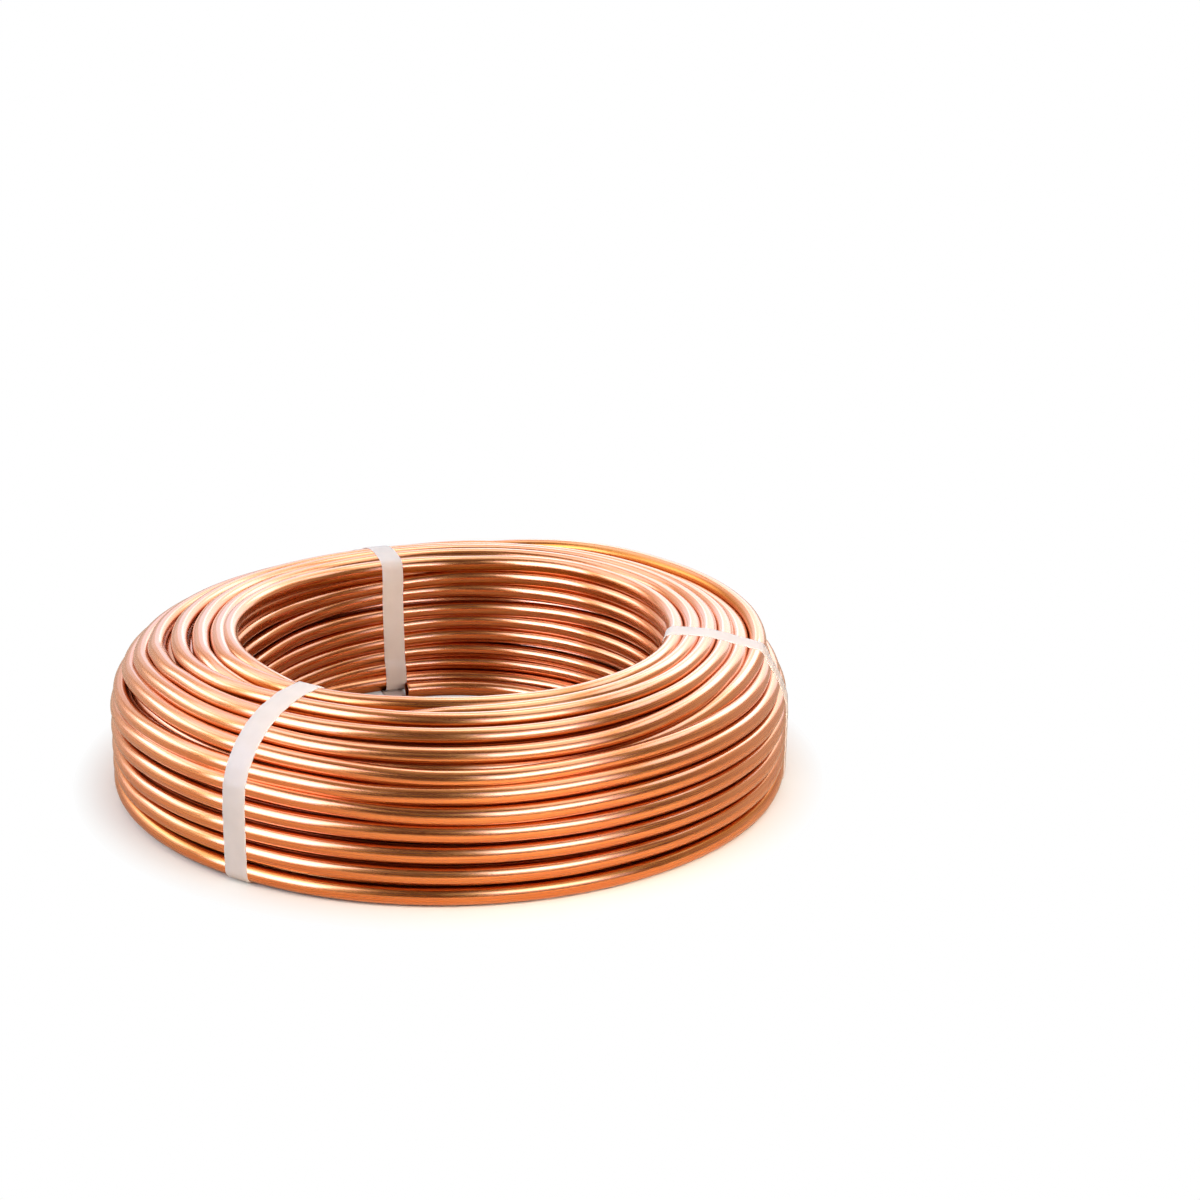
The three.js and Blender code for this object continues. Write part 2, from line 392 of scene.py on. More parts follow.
@dataclass(frozen=True)
class StrapFinish:
    """Off-white polypropylene strap: soft sheen, a faint mottle and fine drawn ribs."""

    name: str = "strap_polypropylene"
    light: Colour = (0.71, 0.67, 0.67)
    shade: Colour = (0.66, 0.62, 0.62)
    roughness: Span = (0.55, 0.72)
    mottle_size: float = 0.012
    rib_length: float = 0.0042
    rib_width: float = 0.0007
    rib_depth: float = 0.00004
    rib_bump: float = 0.4
    glow: float = 0.15
    glow_reach: Point = (0.002, 0.0015, 0.0012)
    ior: float = 1.49

    def material(self) -> bpy.types.Material:
        """Builds the material.

        Returns:
            The material. Its colour goes from shade to light by the mottle.
        """
        made = bpy.data.materials.new(self.name)
        nodes = NodeTree(made)
        place = nodes.add("ShaderNodeTexCoord").outputs
        mottle = nodes.noise(place["Object"], 1 / self.mottle_size, Detail=4.0)
        rib = nodes.streaks(place["UV"], self.rib_length, self.rib_width, Detail=2.0)
        low, high = NOISE_REACH
        shader = nodes.add(
            "ShaderNodeBsdfPrincipled",
            {
                "Base Color": nodes.ramp(mottle, (low, self.shade), (high, self.light)),
                "Roughness": nodes.mapped_range(rib, NOISE_REACH, self.roughness),
                "Subsurface Weight": self.glow,
                "Subsurface Radius": self.glow_reach,
                "Subsurface Scale": 1.0,
                "IOR": self.ior,
                "Normal": nodes.bump(rib, self.rib_bump, self.rib_depth),
            },
        )
        nodes.surface(shader.outputs[0])
        return made


@dataclass(frozen=True)
class FloorFinish:
    """Pale studio floor: matt round the coil, where its shadow falls, and plain white beyond.

    Inside the bore it glows nearly white to the camera, as painted light over the ring's shadow.
    In a mirror image it is duller, and partly white.
    """

    name: str = "studio_floor"
    colour: Colour = (0.80, 0.80, 0.80)
    mirrored_colour: Colour = (0.54, 0.45, 0.35)
    shadow_reach: float = 0.18
    white_from: float = 0.208
    mirrored_from: float = 2.4
    mirrored_share: float = 0.5
    bore_reach: Span = (0.085, 0.125)
    bore_painted_light: float = 0.93

    def material(self) -> bpy.types.Material:
        """Builds the material.

        Returns:
            The material: diffuse round the coil, white further out, and white inside the bore as
            painted light.
        """
        made = bpy.data.materials.new(self.name)
        nodes = NodeTree(made)
        place = nodes.add("ShaderNodeTexCoord").outputs["Object"]
        away = nodes.add("ShaderNodeVectorMath", {0: place}, operation="LENGTH").outputs["Value"]
        path = nodes.add("ShaderNodeLightPath").outputs
        seen = nodes.mapped_range(away, (self.shadow_reach, self.white_from), (0.0, 1.0))
        mirrored = nodes.mapped_range(
            away, (self.shadow_reach, self.mirrored_from), (0.0, self.mirrored_share)
        )
        # Painted light: inside the bore the floor glows white to the camera, over the ring's
        # shadow.
        bore_light = nodes.mapped_range(away, self.bore_reach, (self.bore_painted_light, 0.0))
        shown = nodes.calc("MAXIMUM", seen, bore_light)
        direct = nodes.calc("MULTIPLY", shown, path["Is Camera Ray"])
        through = nodes.calc("MAXIMUM", path["Is Glossy Ray"], path["Is Transmission Ray"])
        share = nodes.calc("MAXIMUM", direct, nodes.calc("MULTIPLY", mirrored, through))
        tone = nodes.ramp(
            path["Is Camera Ray"], (0.0, self.mirrored_colour), (1.0, self.colour)
        )
        diffuse = nodes.add("ShaderNodeBsdfDiffuse", {"Color": tone})
        white = nodes.add("ShaderNodeEmission", {"Color": (*WHITE, 1.0), "Strength": 1.0})
        nodes.surface(nodes.mixed(share, diffuse, white))
        return made


# --- The wound ring ---


@dataclass(frozen=True)
class RingSection:
    """Section of the wound ring, measured over the tube."""

    tube: float = 0.00952
    ring_radius: float = 0.1855
    bore_radius: float = 0.118
    height: float = 0.084
    shoulder_run: float = 0.050
    shoulder_drop: float = 0.042
    foot_run: float = 0.0062
    lift: float = 0.001
    spacing: float = 0.0005
    bend_points: int = 400
    corner_blend: float = 0.35
    blend_points: int = 41

    @property
    def tube_radius(self) -> float:
        """Radius of the tube."""
        return self.tube / 2

    @cached_property
    def line(self) -> tuple[Array, ...]:
        """Centre line of the outermost turns.

        A wall, a quarter ellipse for the shoulder, the flat top, the bore wall, its foot, whose
        lowest turn lies further in and against the one above it, and the underside. The
        direction of its normal is averaged along it, so that it turns smoothly at the corners.

        Returns:
            Places, radii, heights and normal angles, from place 0 to the full way round.
        """
        h = self.tube_radius
        outer, inner, top = self.ring_radius - h, self.bore_radius + h, self.height - h
        foot, head = self.height - self.shoulder_drop, self.ring_radius - self.shoulder_run
        foot_rise = math.sqrt(self.tube**2 - self.foot_run**2)
        bend = np.linspace(0.0, np.pi / 2, self.bend_points)
        shoulder_r = head + (self.shoulder_run - h) * np.cos(bend)
        shoulder_z = foot + (self.shoulder_drop - h) * np.sin(bend)
        shoulder = np.stack((shoulder_r, shoulder_z), axis=-1)
        bore = [(inner, top), (inner, h + foot_rise), (inner - self.foot_run, h), (outer, h)]
        corners = np.concatenate(([(outer, h)], shoulder, bore))
        length = arc_lengths(corners)
        even = np.linspace(0.0, length[-1], int(length[-1] / self.spacing))
        radius, height = resampled(corners, length, even).T
        middle = (length[1:] + length[:-1]) / 2
        d_radius, d_height = np.diff(corners, axis=0).T
        facing = np.unwrap(np.arctan2(-d_radius, d_height))
        reach = self.corner_blend * self.tube
        blend = np.linspace(-reach, reach, self.blend_points)
        wide = np.r_[middle - length[-1], middle, middle + length[-1]]
        turned = np.r_[facing - 2 * np.pi, facing, facing + 2 * np.pi]
        normal = np.mean([np.interp(even + shift, wide, turned) for shift in blend], axis=0)
        return even / self.tube, radius, height + self.lift, normal

    @property
    def full_place(self) -> float:
        """Place at the end of the way round, which is place 0 again."""
        return float(self.line[0][-1])

    def at(self, place: Array, depth: Array) -> tuple[Array, ...]:
        """Points of the section.

        Args:
            place: Places along its line, on any lap.
            depth: Depths inwards from it.

        Returns:
            Radii and heights of the points, and the radial and vertical parts of the normals.
        """
        places, radii, heights, normals = self.line
        rest = place % self.full_place
        facing = np.interp(rest, places, normals)
        out_r, out_z = np.cos(facing), np.sin(facing)
        radius = np.interp(rest, places, radii) - depth * self.tube * out_r
        height = np.interp(rest, places, heights) - depth * self.tube * out_z
        return radius, height, out_r, out_z


START = 40.0  # azimuth at which a turn's keys begin; they run on to START + 360


@dataclass(frozen=True)
class Turn:
    """One turn that shows on the ring.

    It has its place at START, keys of place where it wanders and keys of depth where it sinks.
    """

    place: float
    ways: Keys = ()
    sinks: Keys = ()


TURNS = (
    # along the underside, outwards
    Turn(-5.70, ((112, -5.70), (172, -4.65), (200, -4.60))),
    Turn(-4.60, ((110, -4.60), (168, -3.52), (200, -3.47))),
    Turn(-3.47, ((108, -3.47), (164, -2.35), (200, -2.30))),
    Turn(-2.30, ((106, -2.30), (160, -1.17), (200, -1.12))),
    Turn(
        -1.12,
        ((104, -1.12), (156, -0.6), (345, -0.6), (398, -0.05)),
        ((104, 0.0), (150, 0.87), (345, 0.87), (396, 0.0)),
    ),
    # up the outer wall
    Turn(0.0, ((60, 0.0), (335, 0.0), (388, 1.0))),
    Turn(
        1.0,
        ((190, 1.0), (208, 0.95), (218, 1.1), (240, 1.18), (258, 1.16), (276, 1.1), (290, 1.1))
        + ((300, 1.14), (335, 1.1), (388, 2.0)),
    ),
    Turn(
        2.0,
        ((190, 2.02), (212, 2.12), (223, 2.26), (246, 2.37), (276, 2.27), (300, 2.28))
        + ((335, 2.2), (388, 3.0)),
    ),
    Turn(
        3.0,
        ((190, 3.1), (204, 3.24), (218, 3.52), (229, 3.6), (255, 3.56), (282, 3.42), (335, 3.38))
        + ((388, 4.0),),
    ),
    Turn(
        4.0,
        ((190, 4.15), (204, 4.38), (218, 4.64), (238, 4.73), (255, 4.62), (270, 4.42), (282, 4.38))
        + ((300, 4.45), (335, 4.45), (388, 5.0)),
    ),
    Turn(
        5.0,
        ((190, 5.1), (203, 5.24), (218, 5.45), (235, 5.55), (247, 5.54), (264, 5.39), (280, 5.39))
        + ((300, 5.49), (335, 5.5), (388, 6.0)),
    ),
    # over the shoulder and the top, inwards
    Turn(
        6.0,
        ((150, 6.02), (190, 6.2), (198, 6.45), (205, 6.62), (213, 6.69), (222, 6.69), (235, 6.65))
        + ((243, 6.6), (254, 6.5), (262, 6.38), (272, 6.25), (281, 6.23), (288, 6.28))
        + ((300, 6.38), (340, 6.45), (352, 6.55)),
    ),
    Turn(
        7.0,
        ((150, 7.04), (190, 7.1), (196, 7.25), (205, 7.48), (215, 7.62), (235, 7.67), (250, 7.56))
        + ((268, 7.49), (285, 7.46), (300, 7.52), (320, 7.9), (340, 8.25), (355, 8.25))
        + ((375, 8.05),),
    ),
    Turn(
        8.0,
        ((150, 8.03), (190, 8.1), (197, 8.28), (205, 8.42), (212, 8.6), (220, 8.66), (235, 8.73))
        + ((250, 8.74), (270, 8.77), (290, 8.76), (320, 9.0), (340, 9.22), (355, 9.2), (375, 9.02)),
    ),
    Turn(
        9.0,
        ((90, 9.1), (140, 9.3), (168, 9.5), (180, 9.52), (190, 9.5), (200, 9.48), (210, 9.57))
        + ((221, 9.77), (230, 10.02), (237, 10.15), (250, 10.22), (270, 10.13), (290, 10.1))
        + ((320, 10.1), (340, 10.2), (355, 10.17), (375, 10.0)),
    ),
    Turn(
        10.0,
        ((90, 10.1), (140, 10.3), (165, 10.56), (180, 10.7), (192, 10.68), (203, 10.52))
        + ((212, 10.48), (222, 10.6), (229, 10.8), (240, 10.93), (255, 10.98), (275, 11.03))
        + ((290, 11.07), (340, 11.15), (375, 11.0)),
        ((205, 0.0), (215, 0.15), (229, 0.5), (240, 0.63), (252, 0.6), (265, 0.3), (275, 0.05))
        + ((290, 0.0),),
    ),
    Turn(
        11.0,
        ((90, 11.1), (140, 11.3), (165, 11.58), (180, 11.72), (192, 11.7), (202, 11.58))
        + ((209, 11.47), (215, 11.52), (229, 11.66), (240, 11.77), (255, 11.95), (275, 12.05))
        + ((290, 12.05), (340, 12.08), (375, 12.02)),
        ((248, 0.0), (265, -0.08), (285, -0.08), (305, 0.0)),
    ),
    # down the bore wall
    Turn(
        12.02,
        ((90, 12.3), (120, 12.5), (150, 12.52), (205, 12.5), (225, 12.6), (255, 12.97)),
        ((85, 0.0), (115, -0.3), (150, -0.5), (215, -0.5), (250, -0.25), (300, -0.2), (360, 0.0)),
    ),
    Turn(12.95, ((90, 13.2), (120, 13.6), (150, 13.75), (215, 13.85), (250, 13.98))),
    Turn(13.97, ((90, 14.1), (120, 14.38), (140, 14.7), (162, 15.0), (350, 15.0))),
    Turn(15.05, ((90, 15.39), (140, 15.77), (162, 16.15), (200, 16.15), (300, 16.2))),
    Turn(
        16.12,
        ((60, 16.1), (90, 16.2), (115, 16.5), (140, 16.83), (162, 17.1), (200, 17.14))
        + ((330, 17.2),),
    ),
    Turn(
        17.05,
        ((60, 17.05), (90, 17.15), (115, 17.45), (140, 17.74), (162, 18.06), (200, 18.13))
        + ((330, 18.15),),
    ),
    Turn(18.26, ((90, 18.15), (115, 18.3), (140, 18.66), (165, 19.05), (350, 19.1))),
    Turn(19.12, ((90, 19.1), (110, 19.16), (150, 19.6), (175, 20.05), (200, 20.13))),
    # in the foot of the bore wall
    Turn(20.13, ((112, 20.13), (175, 21.1), (200, 21.18))),
)
LAST_PLACE = 21.18  # where the last turn ends


def first_lap(azimuth: Array) -> Array:
    """Azimuths carried to the first lap, which begins at START."""
    return (azimuth - START) % FULL_TURN + START


def in_a_row(turns: Iterable[Keys]) -> Keys:
    """Keys of turns in a row, by total azimuth."""
    return tuple((FULL_TURN * i + at, value) for i, keys in enumerate(turns) for at, value in keys)


@dataclass(frozen=True)
class Run:
    """A run of turns made as one piece: the turn it ends in, its step and its sides."""

    name: str
    last_turn: int
    step: float
    sides: int


@dataclass
class Winding:
    """The wound tube: one continuous run of turns round the ring's section.

    A total azimuth goes on rising from turn to turn. The inner_ values are those of the layer
    beneath the turns that show; their gaps, clearance and cover are in tube diameters.
    """

    section: RingSection = field(default_factory=RingSection)
    turns: tuple[Turn, ...] = TURNS
    runs: tuple[Run, ...] = (
        Run("floor_turns", 4, 2.5, 16),
        Run("wound_turns", 16, 1.5, 26),
        Run("bore_turns", 26, 1.5, 26),
    )
    join_azimuth: float = 352.5
    inner_step: float = 4.0
    inner_sides: int = 12
    inner_first: int = 6
    inner_short: int = 3
    inner_gaps: Span = (0.8, 1.9)
    inner_clearance: float = 0.02
    inner_cover: float = 0.3
    dive: float = 1.1
    dive_arc: float = 40.0
    slack: float = 0.012
    waves: tuple[float, ...] = (0.37, 0.91, 1.73)
    seed: int = 7
    dips: Keys = ((60, 0.0), (100, 0.0018), (130, 0.0026), (160, 0.0014), (195, 0.0), (400, 0.0))
    dipping: Keys = ((5.5, 0.0), (8.0, 1.0), (12.3, 1.0), (14.5, 0.0))

    @property
    def end(self) -> float:
        """Total azimuth at which the last turn ends."""
        return FULL_TURN * len(self.turns) + START

    @cached_property
    def place_keys(self) -> Keys:
        """Keys of place against total azimuth, for all turns in a row."""
        keys = in_a_row(((START, turn.place), *turn.ways) for turn in self.turns)
        return (*keys, (self.end, LAST_PLACE))

    @cached_property
    def sink_keys(self) -> Keys:
        """Keys of depth against total azimuth: both ends dive into the ring's underside.

        Returns:
            The keys, for all turns in a row.
        """
        dive = ((START, self.dive), (START + self.dive_arc, 0.0))
        middle = in_a_row(turn.sinks for turn in self.turns)
        return (*dive, *middle, (self.end - self.dive_arc, 0.0), (self.end, self.dive))

    def place(self, azimuth: Array) -> Array:
        """Places at total azimuths: the keyed way, and a little slack from a few sine waves.

        Args:
            azimuth: Total azimuths, in an array of any shape.

        Returns:
            Their places.
        """
        phases = np.random.default_rng(self.seed).uniform(0, 2 * np.pi, len(self.waves))
        angle = np.radians(azimuth)
        slack = sum(np.sin(w * angle + p) for w, p in zip(self.waves, phases, strict=True))
        return keyed(self.place_keys, azimuth) + self.slack * slack

    def places_at(self, azimuth: Array) -> Array:
        """Places and depths (n, turns, 2) of all the turns that pass azimuths (n,)."""
        total = first_lap(azimuth)[:, None] + FULL_TURN * np.arange(len(self.turns))
        return np.stack((self.place(total), keyed(self.sink_keys, total)), axis=-1)

    def section_at(self, azimuth: Array, place: Array, depth: Array) -> tuple[Array, ...]:
        """Points of the section at azimuths. Its top dips at the back left.

        Args:
            azimuth: Azimuths.
            place: A place for each.
            depth: A depth for each.

        Returns:
            Radii and heights of the points, and the radial and vertical parts of the normals.
        """
        radius, height, out_r, out_z = self.section.at(place, depth)
        share = keyed(self.dipping, place % self.section.full_place)
        return radius, height - keyed(self.dips, first_lap(azimuth)) * share, out_r, out_z

    def run(self, azimuth: Array, place: Array, depth: Array) -> tuple[Array, Array]:
        """Centres (n, 3) and outward directions (n, 3) of a run of tube."""
        radius, height, out_r, out_z = self.section_at(azimuth, place, depth)
        return ring_points(azimuth, radius, height), ring_points(azimuth, out_r, out_z)

    def outer_turns(self) -> list[Object]:
        """Builds all the turns that show, in runs that meet end to end under a strap.

        Returns:
            A piece for each run.
        """
        begin, pieces = START, []
        for run in self.runs:
            end = min(FULL_TURN * run.last_turn + self.join_azimuth, self.end)
            azimuth = np.linspace(begin, end, round((end - begin) / run.step) + 1)
            depth = keyed(self.sink_keys, azimuth)
            pieces.append(self.tube(run.name, azimuth, self.place(azimuth), depth, run.sides))
            begin = end
        return pieces

    def inner_turns(self) -> Object:
        """Builds the next layer, which shows in the gaps. It lies in the grooves between turns.

        Its place is halfway between a turn and the next one, and its depth is
        sqrt(1 - (gap / 2)^2), with gap the distance between the two.

        Returns:
            The piece.
        """
        first = START + self.inner_first * FULL_TURN
        last = self.end - self.inner_short * FULL_TURN
        azimuth = np.arange(first, last + 1, self.inner_step)
        here, following = self.place(azimuth), self.place(azimuth + FULL_TURN)
        gap = np.clip(following - here, *self.inner_gaps)
        groove = np.sqrt(1 - (gap / 2) ** 2) + self.inner_clearance
        sunk = np.max([keyed(self.sink_keys, azimuth + lap) for lap in (0.0, FULL_TURN)], axis=0)
        depth = np.maximum(groove, sunk + self.inner_cover)
        return self.tube(
            "inner_turns", azimuth, (here + following) / 2, depth, self.inner_sides
        )

    def tube(self, name: str, azimuth: Array, place: Array, depth: Array, sides: int) -> Object:
        """Builds a run of closed tube.

        Args:
            name: Name of the piece.
            azimuth: Total azimuths along it.
            place: Place at each.
            depth: Depth at each.
            sides: Sides of the tube.

        Returns:
            The piece.
        """
        path, outward = self.run(azimuth, place, depth)
        radius = np.full(len(path), self.section.tube_radius)
        return tube_mesh(name, path, np.gradient(path, axis=0), outward, radius, sides)


@dataclass
class OpenEnd:
    """A tube end that leaves the ring and is cut off square: it shows its wall and its bore."""

    winding: Winding
    name: str
    first: float
    last: float
    wall: float = 0.0008
    bore_depth: float = 0.028
    bore_rows: int = 12
    edge: float = 0.00015
    edge_rows: int = 4
    row_spacing: float = 0.0028
    step: float = 1.5
    sides: int = 24

    def centres(self, azimuth: Array) -> tuple[Array, Array]:
        """Centres and outward directions at azimuths, as (n, 3) each. Each end has its own."""
        raise NotImplementedError

    def rows(self, length: float) -> tuple[Array, Array]:
        """Rings of points along the tube.

        The outside runs to the cut, whose two edges are broken by quarter rounds, and the
        inside runs back from it to the bore's depth.

        Args:
            length: Length of the path.

        Returns:
            Distance along the path and radius of each ring.
        """
        outer = self.winding.section.tube_radius
        inner, e = outer - self.wall, self.edge
        bend = np.linspace(0, np.pi / 2, self.edge_rows)
        body = np.arange(0.0, length - 2 * e, self.row_spacing)
        back = np.linspace(length - 3 * e, length - self.bore_depth, self.bore_rows)
        rings = (
            (body, np.full_like(body, outer)),
            (length - e + e * np.sin(bend), outer - e + e * np.cos(bend)),
            (length - e + e * np.cos(bend), inner + e - e * np.sin(bend)),
            (back, np.full_like(back, inner)),
        )
        return tuple(np.concatenate(part) for part in zip(*rings, strict=True))

    def build(self) -> Object:
        """Builds the outside of the tube, the cut rim with its broken edges, and the bore.

        Returns:
            The piece.
        """
        azimuth = np.arange(self.first, self.last + self.step / 2, self.step)
        path, outward = self.centres(azimuth)
        length = arc_lengths(path)
        at, radius = self.rows(length[-1])
        known = (path, unit(np.gradient(path, axis=0)), unit(outward))
        centre, ahead, out = (resampled(values, length, at) for values in known)
        return tube_mesh(self.name, centre, ahead, out, radius, self.sides)


@dataclass
class LastWrap(OpenEnd):
    """The end that comes up between two turns of the shoulder and lies over them.

    Its depth is sunk until it rises, by a share, to lie on the turns beneath and bed into them.
    """

    places: Keys = (
        ((240, 7.1), (268, 7.0), (300, 6.98), (340, 7.35))
        + ((368, 7.42), (400, 7.5), (490, 5.53))
    )
    sunk: Keys = (
        ((240, 0.85), (256, 0.66), (268, 0.52), (282, 0.56))
        + ((300, 0.68), (322, 0.45), (341, 0.0))
    )
    risen: Keys = ((339, 0.0), (358, 0.95), (366, 1.0))
    bed: float = 0.05

    def depth(self, azimuth: Array, place: Array) -> Array:
        """Depth: it lies on the nearest turn, sqrt(1 - x^2) over it, once it has risen.

        Args:
            azimuth: Azimuths (n,).
            place: Its place at each, x from the nearest turn's.

        Returns:
            Its depth at each.
        """
        turns = self.winding.places_at(azimuth)[..., 0]
        apart = np.clip(np.abs(turns - place[:, None]), 0.0, 1.0)
        over = np.sqrt(1 - apart**2).max(axis=1) - self.bed
        return keyed(self.sunk, azimuth) - keyed(self.risen, azimuth) * over

    def centres(self, azimuth: Array) -> tuple[Array, Array]:
        """Centres and outward directions at azimuths."""
        place = keyed(self.places, azimuth)
        return self.winding.run(azimuth, place, self.depth(azimuth, place))

    def section_centres(self, azimuth: float) -> Array:
        """Its centre in the section at one azimuth, to lay a strap over it.

        Args:
            azimuth: The azimuth, on any lap.

        Returns:
            Radius and height (1, 2), or none (0, 2) where the wrap doesn't pass.
        """
        total = (azimuth - self.first) % FULL_TURN + self.first
        if not self.first < total < self.last:
            return np.empty((0, 2))
        centre = self.centres(np.array([total]))[0]
        return np.stack((np.hypot(centre[:, 0], centre[:, 1]), centre[:, 2]), axis=-1)


@dataclass
class FirstEnd(OpenEnd):
    """The end that leaves the foot of the bore wall and lies on the floor beside it."""

    rise_arc: float = 30.0
    gap: float = 0.0075
    outward: Span = (-0.8, 0.6)

    def centres(self, azimuth: Array) -> tuple[Array, Array]:
        """Centres: from inside the foot to beside it, by the smooth step t^2 (3 - 2 t).

        Args:
            azimuth: Azimuths (n,).

        Returns:
            Centres and outward directions, as (n, 3) each.
        """
        section = self.winding.section
        foot = section.bore_radius + section.tube_radius - section.foot_run
        floor = section.lift + section.tube_radius
        root = np.array((foot + section.tube, floor + section.tube_radius))
        rest = np.array((foot - section.tube - self.gap, floor))
        t = np.clip((azimuth - self.first) / self.rise_arc, 0.0, 1.0)
        share = (t**2 * (3 - 2 * t))[:, None]
        radius, height = (root + (rest - root) * share).T
        out_r, out_z = (np.full_like(azimuth, part) for part in self.outward)
        return ring_points(azimuth, radius, height), ring_points(azimuth, out_r, out_z)


# --- Straps ---


TAUT_DIRECTIONS = 1440  # in which a taut line is sought, four to a degree
ROUND_MIDDLE = 0.3  # inset of a quarter round's middle, in its radii: about 1 - cos 45 degrees


def taut_line(centres: Array, reach: float, pitch: float) -> tuple[Array, Array]:
    """Taut closed line round equal circles, evenly spaced.

    In each direction n the circle furthest out carries the line, at its centre plus reach times
    n; where that circle changes, the line runs straight from one to the next.

    Args:
        centres: Centres of the circles (n, 2).
        reach: Their radius.
        pitch: Spacing of the points, about.

    Returns:
        Points (m, 2), counter-clockwise, and their outward normals (m, 2).
    """
    angle = np.linspace(0, 2 * np.pi, TAUT_DIRECTIONS, endpoint=False)
    n = np.stack((np.cos(angle), np.sin(angle)), axis=-1)
    line = centres[np.argmax(centres @ n.T, axis=0)] + reach * n
    closed = np.concatenate((line, line[:1]))
    length = arc_lengths(closed)
    even = np.linspace(0, length[-1], int(length[-1] / pitch), endpoint=False)
    spaced = resampled(closed, length, even)
    ahead = np.roll(spaced, -1, axis=0) - np.roll(spaced, 1, axis=0)
    return spaced, unit(np.stack((ahead[:, 1], -ahead[:, 0]), axis=-1))


@dataclass
class Strap:
    """A flat strap drawn tight round the ring's section at one azimuth."""

    winding: Winding
    name: str
    azimuth: float
    over: LastWrap
    tail: bool = False
    width: float = 0.0127
    thickness: float = 0.0006
    clearance: float = 0.0001
    edge: float = 0.0002
    pitch: float = 0.0012
    sag: float = 0.0022
    window: int = 8
    tail_start: float = 0.004
    tail_length: float = 0.015
    tail_offset: float = 0.002
    tail_rows: int = 24

    @cached_property
    def axes(self) -> Array:
        """Radial, sideways and upward directions at the strap's azimuth, as rows."""
        c, s = math.cos(math.radians(self.azimuth)), math.sin(math.radians(self.azimuth))
        return np.array(((c, s, 0.0), (-s, c, 0.0), (0.0, 0.0, 1.0)))

    @cached_property
    def band(self) -> tuple[Array, Array]:
        """Middle line of the band, in the plane of the azimuth.

        It is the taut line round every turn that passes under the strap, with the clearance and
        half the strap's thickness between. Over a hollow it is drawn in by the smallest gap
        within one window, averaged over a second, narrower window, so that it never cuts a turn.

        Returns:
            Points (m, 2) as radius and height, counter-clockwise, and their outward normals.
        """
        section = self.winding.section
        reach = section.tube_radius + self.clearance + self.thickness / 2
        half = math.degrees(self.width / 2 / section.ring_radius)
        azimuths = self.azimuth + half * np.array((-1.0, 0.0, 1.0))
        place, depth = np.moveaxis(self.winding.places_at(azimuths), -1, 0)
        radius, height, *_ = self.winding.section_at(azimuths[:, None], place, depth)
        turns = np.stack((radius, height), axis=-1).reshape(-1, 2)
        every = np.concatenate((turns, *(self.over.section_centres(a) for a in azimuths)))
        line, normal = taut_line(every, reach, self.pitch)
        gap = np.min(np.linalg.norm(line[:, None] - every[None], axis=-1) - reach, axis=1)
        least = np.min([np.roll(gap, i) for i in range(-self.window, self.window + 1)], axis=0)
        near = range(-self.window // 2, self.window // 2 + 1)
        drawn = np.mean([np.roll(least, i) for i in near], axis=0)
        line -= normal * np.clip(drawn, 0.0, self.sag)[:, None]
        return line, normal

    @cached_property
    def profile(self) -> tuple[Array, ...]:
        """Flat section of the strap, with rounded edges.

        Returns:
            Offsets across the strap and through it, counter-clockwise, and the distance round
            the section of each and of the closing one.
        """
        w, t, e = self.width / 2, self.thickness / 2, self.edge
        m = ROUND_MIDDLE * e
        far = np.array([w / 2, w - e, w - m, w])
        high = np.array([t, t, t - m, t - e])
        across, through = np.r_[-far[::-1], 0, far], np.r_[high[::-1], t, high]
        across, through = np.r_[across, across[::-1]], np.r_[through, -through[::-1]]
        closed = np.stack((np.r_[across, across[0]], np.r_[through, through[0]]), axis=-1)
        return across, through, arc_lengths(closed)

    def build(self) -> list[Object]:
        """Builds the band, and its free tail on the floor where it has one.

        Returns:
            The pieces, the band first.
        """
        radial, side, up = self.axes
        across, through, around = self.profile
        line, normal = self.band
        centre = line[:, :1] * radial + line[:, 1:] * up
        out = normal[:, :1] * radial + normal[:, 1:] * up
        bowed = np.sqrt(line[:, :1] ** 2 - across**2) - line[:, :1]
        points = (
            centre[:, None]
            + across[:, None] * side
            + through[:, None] * out[:, None]
            + bowed[:, :, None] * radial
        )
        points[..., 2] -= min(points[..., 2].min(), 0.0)
        along = arc_lengths(centre)
        along = np.r_[along, along[-1] + self.pitch]
        made = [grid_mesh(self.name, points, along, around, rows_close=True)]
        if self.tail:
            made.append(self.tail_piece())
        return made

    def tail_piece(self) -> Object:
        """Builds the free end past the weld: a flat strip on the floor inside the bore.

        Returns:
            The piece.
        """
        radial, side, up = self.axes
        across, through, around = self.profile
        bore = self.winding.section.bore_radius
        run = np.linspace(bore + self.tail_start, bore - self.tail_length, self.tail_rows)
        centre = run[:, None] * radial + self.tail_offset * side + self.thickness / 2 * up
        points = centre[:, None] - across[:, None] * side + through[:, None] * up
        return grid_mesh(f"{self.name}_tail", points, arc_lengths(centre), around)


# --- Studio ---


# Colours of a panel's two lamps. Values above 1 make a lamp brighter than its wall's radiance.
PANEL_GLOSS = (0.84, 1.08, 1.38)
ROSY_GLOSS = (0.97, 1.27, 2.3)
CORE_GLOSS = (0.68, 1.07, 1.75)
SOFT_MATT = (0.62, 0.66, 0.68)
DIM_MATT = (0.55, 0.55, 0.55)
WARM_MATT = (1.45, 1.25, 1.1)
FILL_MATT = (5.0, 4.1, 3.1)


